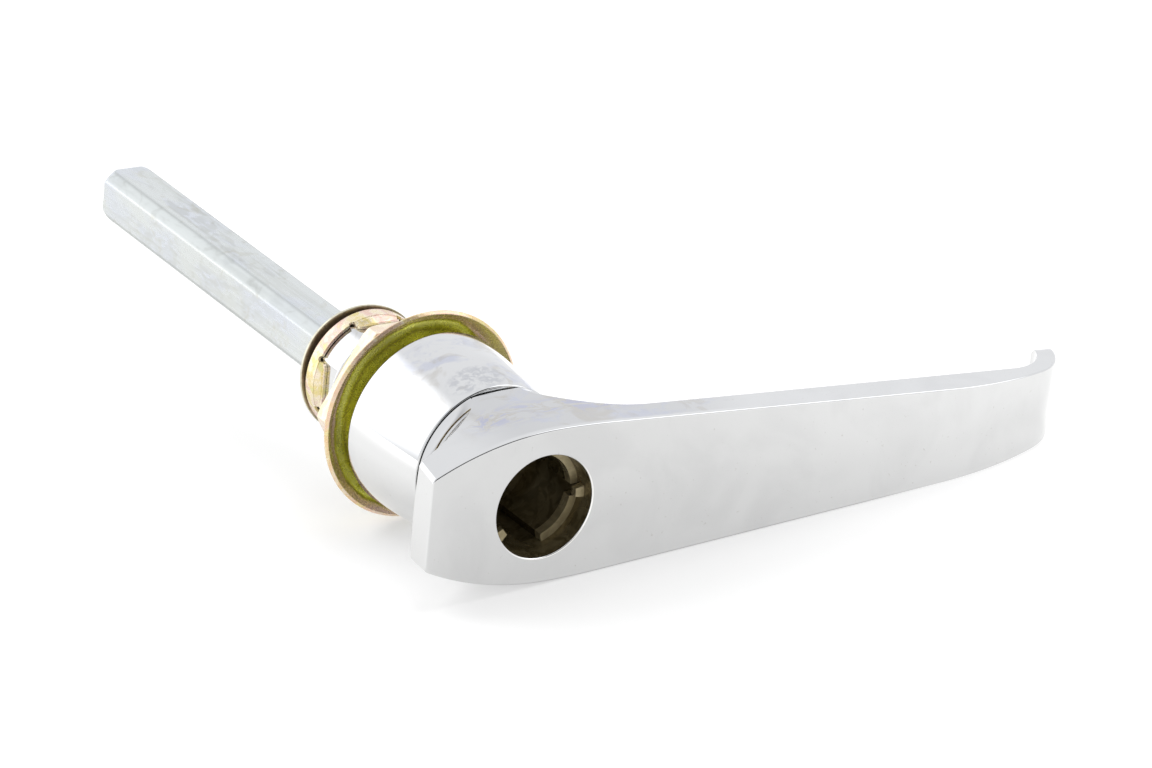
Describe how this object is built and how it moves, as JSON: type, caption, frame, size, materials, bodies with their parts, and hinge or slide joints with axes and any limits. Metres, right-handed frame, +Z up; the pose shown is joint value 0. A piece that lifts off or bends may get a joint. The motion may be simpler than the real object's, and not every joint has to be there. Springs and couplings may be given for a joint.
{
  "type": "padlockable l-handle",
  "caption": "L-shaped door handle with an open lock bore in its hub, a threaded barrel with dished washer and nut, and a square spindle.",
  "frame": {"origin": "on the spindle axis, in the plane of the housing's rear face that meets the door", "axes": "+Y along the spindle into the door, +X from the hub along the lever, +Z up"},
  "size_m": [0.1387, 0.149, 0.039],
  "materials": {
    "chrome": "polished chrome plate on zinc casting",
    "clear_zinc": "clear zinc plate with faint lengthwise streaks",
    "yellow_zinc": "yellow iridescent zinc passivation",
    "spring_steel": "dull grey-brown spring steel",
    "seal_rubber": "soft black rubber",
    "bearing_plastic": "natural bearing plastic"
  },
  "bodies": {
    "housing_body": {"housing": "chrome", "barrel_cap": "yellow_zinc"},
    "lever_body": {"lever": "chrome", "spindle": "clear_zinc", "hub_pin": "spring_steel", "hub_seal": "seal_rubber", "thrust_washer": "bearing_plastic", "spindle_bush": "bearing_plastic", "bowed_washer": "spring_steel", "retaining_ring": "spring_steel"},
    "washer_body": {"cup_washer": "yellow_zinc"},
    "nut_body": {"fixing_nut": "yellow_zinc"}
  },
  "joints": [
    {"name": "lever_turn", "type": "hinge", "parent": "housing_body", "child": "lever_body", "pos_m": [0, 0, 0], "axis": [0, -1, 0], "range_deg": [0, 90]},
    {"name": "washer_travel", "type": "slide", "parent": "housing_body", "child": "washer_body", "axis": [0, 1, 0], "range_m": [-0.0027, 0.0055]},
    {"name": "nut_spin", "type": "hinge", "parent": "washer_body", "child": "nut_body", "pos_m": [0, 0.0077, 0], "axis": [0, 1, 0], "range_deg": [-660, 1340]}
  ],
  "couplings": [
    {"joint": "nut_spin", "follows": "washer_travel", "rad_per_m": 4188.8}
  ]
}
